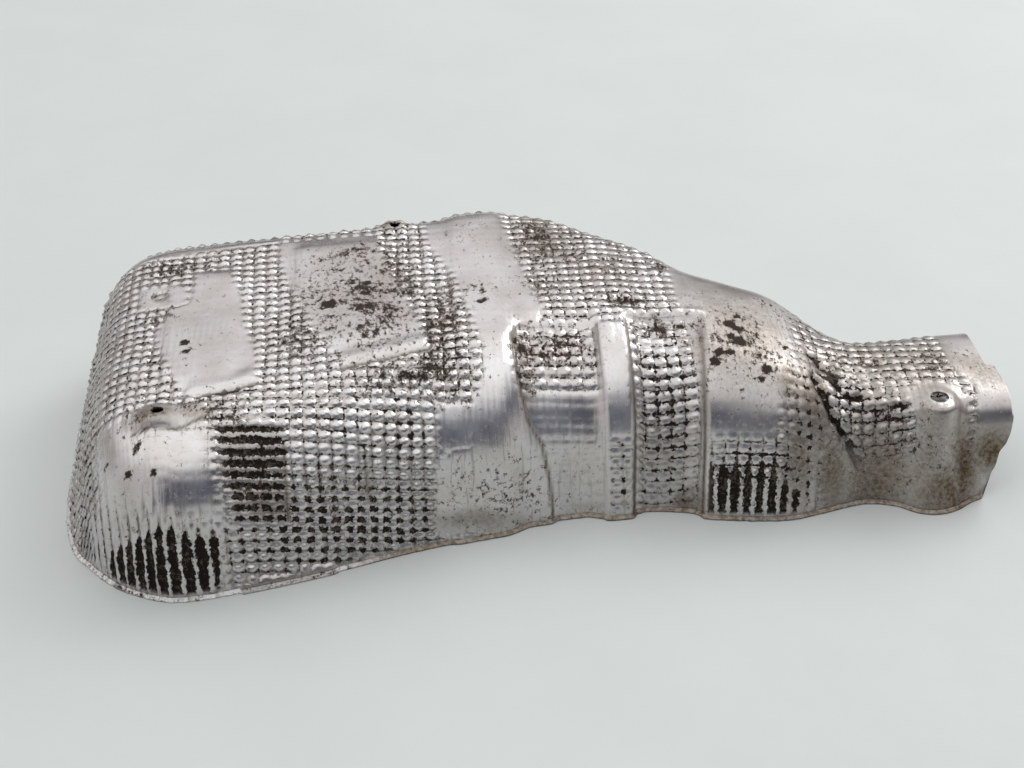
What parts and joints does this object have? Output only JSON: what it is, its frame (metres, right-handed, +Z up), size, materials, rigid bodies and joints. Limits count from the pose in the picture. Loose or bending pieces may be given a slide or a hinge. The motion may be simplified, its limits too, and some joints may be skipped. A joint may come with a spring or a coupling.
{
  "type": "exhaust heat shield",
  "caption": "Exhaust heat shield pressed from embossed aluminium sheet: a long hood, open below, that narrows to an open neck, with fixing holes in raised seats.",
  "frame": {"origin": "middle of the foot of the shield's bounding box, on the surface it rests on", "axes": "+X along the length, from the closed end to the mouth of the neck; +Y from the front to the back; +Z up, from the open side to the crown"},
  "size_m": [0.5258, 0.27, 0.0965],
  "materials": {
    "embossed_aluminium": "satin, corroded"
  },
  "bodies": {
    "root": {"heat_shield": "embossed_aluminium"}
  },
  "joints": []
}
